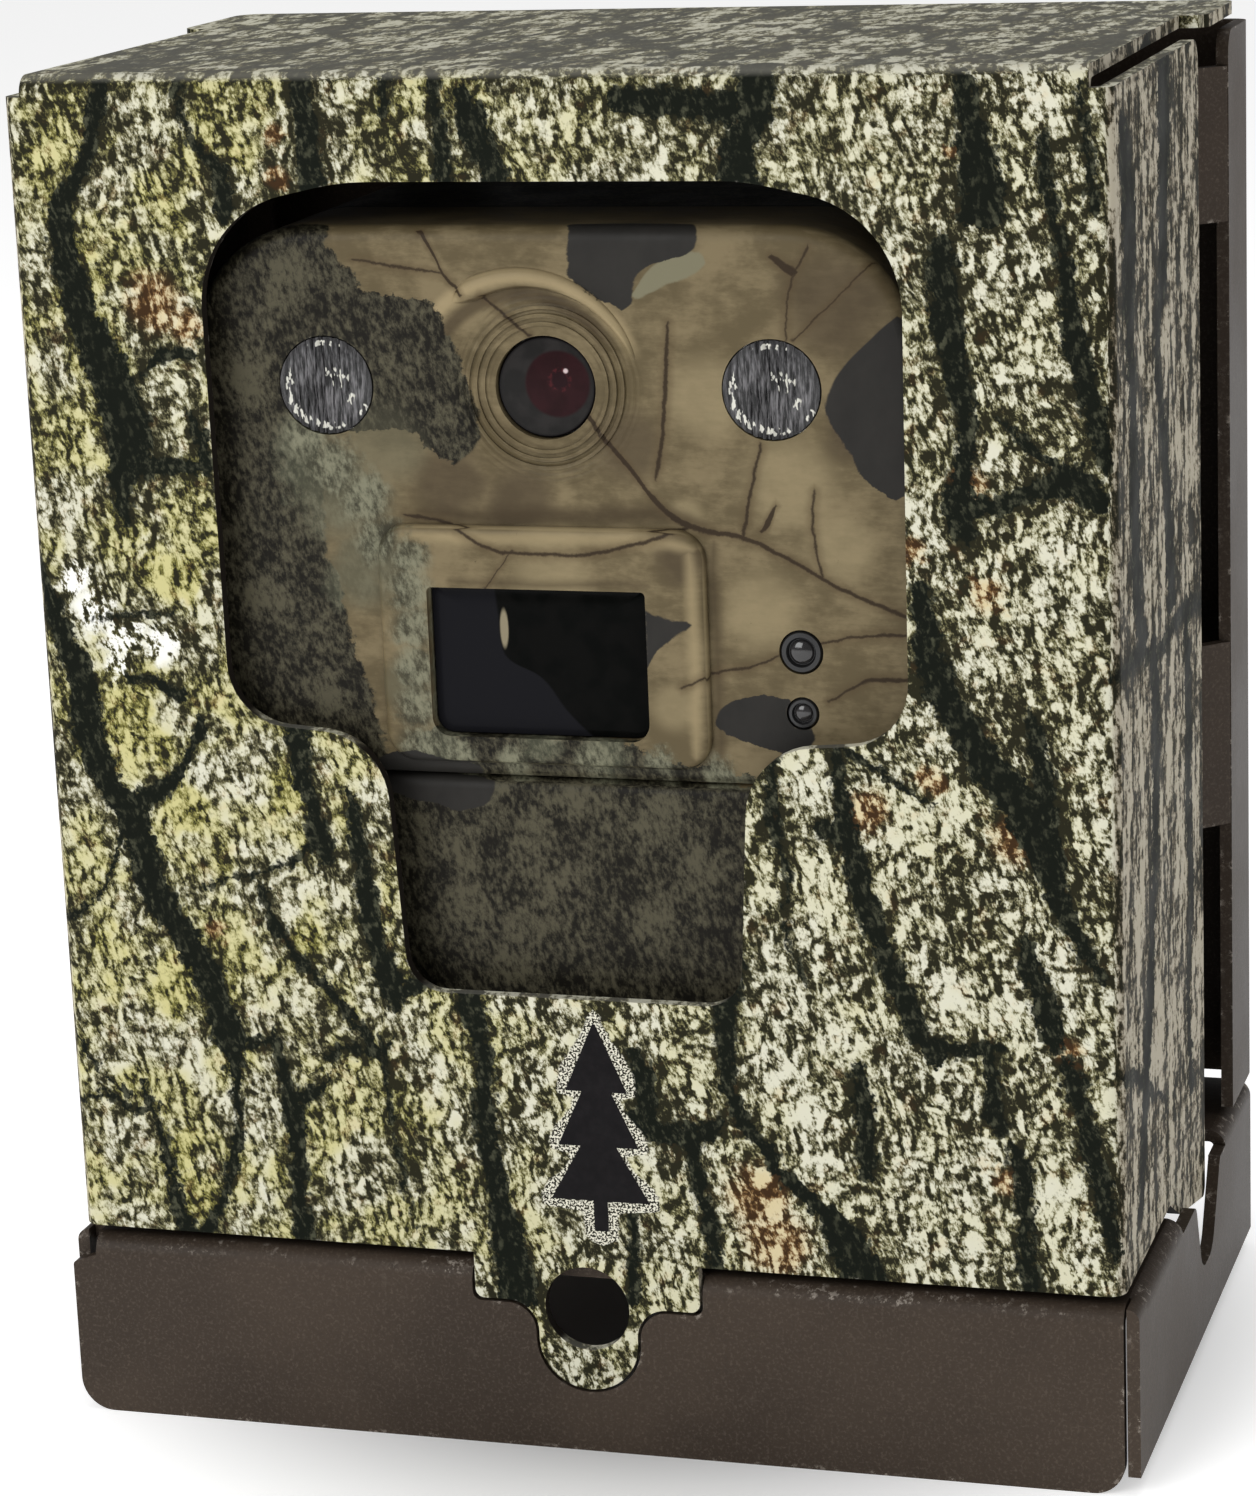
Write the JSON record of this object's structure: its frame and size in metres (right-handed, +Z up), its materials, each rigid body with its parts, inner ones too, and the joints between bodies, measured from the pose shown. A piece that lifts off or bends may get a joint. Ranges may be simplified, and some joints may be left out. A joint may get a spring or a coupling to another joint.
{
  "type": "trail camera",
  "caption": "Trail camera standing in a folded steel lock box with a windowed bark-pattern cover and a brown mounting frame.",
  "frame": {"origin": "on the ground under the middle of the whole box", "axes": "+Z up, the cover's window faces -Y, +X to the right seen from the front"},
  "size_m": [0.1406, 0.0896, 0.1744],
  "materials": {
    "bark_steel": "satin powder coat printed with pale cracked bark",
    "brown_steel": "fine-textured dark brown powder coat, worn at the folds",
    "decal_black": "flat black print",
    "case_plastic": "matte moulded case printed with leaf and bark camouflage",
    "dark_rubber": "soft matte seal",
    "steel": "plated steel",
    "window_dark": "dark smooth window plastic",
    "black_plastic": "fine matte moulded plastic",
    "lens_glass": "coated lens glass with a dark red cast",
    "chip_black": "moulded chip packages",
    "board_green": "printed circuit board with solder mask",
    "clear_lens": "clear moulded lens",
    "brass": "turned brass",
    "screen": "dark liquid crystal screen",
    "button_rubber": "moulded rubber key caps",
    "cell_wrap": "printed film around a steel can"
  },
  "bodies": {
    "frame": {"back_frame": "brown_steel", "base_shelf": "brown_steel", "battery_cell_1": "cell_wrap", "battery_cell_2": "cell_wrap", "battery_cell_3": "cell_wrap", "battery_cell_4": "cell_wrap", "battery_cell_5": "cell_wrap", "battery_cell_6": "cell_wrap", "battery_plates": "steel", "battery_springs": "steel", "battery_tray": "black_plastic", "board_chips": "chip_black", "board_posts": "black_plastic", "board_screws": "steel", "button_board": "board_green", "card_socket": "steel", "case_gasket": "dark_rubber", "case_screws": "steel", "control_panel": "black_plastic", "flood_lens_left": "clear_lens", "flood_lens_right": "clear_lens", "front_case": "case_plastic", "hinge_pin": "steel", "image_sensor": "chip_black", "indicator_lens": "clear_lens", "lamp_board_left": "board_green", "lamp_board_right": "board_green", "lamps_left": "clear_lens", "lamps_right": "clear_lens", "lens_barrel": "black_plastic", "lens_brow": "case_plastic", "lens_element": "lens_glass", "lens_window": "window_dark", "light_sensor_lens": "clear_lens", "main_board": "board_green", "motion_board": "board_green", "motion_sensor": "steel", "motion_window": "window_dark", "rear_case": "case_plastic", "screen_module": "screen", "screen_window": "clear_lens", "sensor_board": "board_green", "tripod_insert": "brass"},
    "cover": {"front_cover": "bark_steel", "tree_decal": "decal_black"},
    "door": {"battery_door": "case_plastic"},
    "latch": {"door_latch": "black_plastic"},
    "switch": {"power_switch": "black_plastic"},
    "card": {"memory_card": "black_plastic"},
    "key_ok": {"button_ok": "button_rubber"},
    "key_left": {"button_left": "button_rubber"},
    "key_right": {"button_right": "button_rubber"},
    "key_up": {"button_up": "button_rubber"},
    "key_down": {"button_down": "button_rubber"}
  },
  "joints": [
    {"name": "cover_swing", "type": "hinge", "parent": "frame", "child": "cover", "pos_m": [0, 0.04366, 0.1646], "axis": [-1, 0, 0], "range_deg": [0, 60]},
    {"name": "door_swing", "type": "hinge", "parent": "frame", "child": "door", "pos_m": [-0.05, -0.02085, 0.0499], "axis": [0, 0, -1], "range_deg": [0, 60]},
    {"name": "latch_turn", "type": "hinge", "parent": "door", "child": "latch", "pos_m": [0.0352, -0.02475, 0.0539], "axis": [0, -1, 0], "range_deg": [0, 90]},
    {"name": "switch_slide", "type": "slide", "parent": "frame", "child": "switch", "axis": [1, 0, 0], "range_m": [0, 0.005]},
    {"name": "card_push", "type": "slide", "parent": "frame", "child": "card", "axis": [0, 1, 0], "range_m": [0, 0.0012], "stiffness_N_per_m": 400},
    {"name": "press_ok", "type": "slide", "parent": "frame", "child": "key_ok", "axis": [0, 1, 0], "range_m": [0, 0.0008], "stiffness_N_per_m": 500},
    {"name": "press_left", "type": "slide", "parent": "frame", "child": "key_left", "axis": [0, 1, 0], "range_m": [0, 0.0008], "stiffness_N_per_m": 500},
    {"name": "press_right", "type": "slide", "parent": "frame", "child": "key_right", "axis": [0, 1, 0], "range_m": [0, 0.0008], "stiffness_N_per_m": 500},
    {"name": "press_up", "type": "slide", "parent": "frame", "child": "key_up", "axis": [0, 1, 0], "range_m": [0, 0.0008], "stiffness_N_per_m": 500},
    {"name": "press_down", "type": "slide", "parent": "frame", "child": "key_down", "axis": [0, 1, 0], "range_m": [0, 0.0008], "stiffness_N_per_m": 500}
  ],
  "couplings": [
    {"joint": "door_swing", "follows": "cover_swing", "ratio": 1}
  ]
}
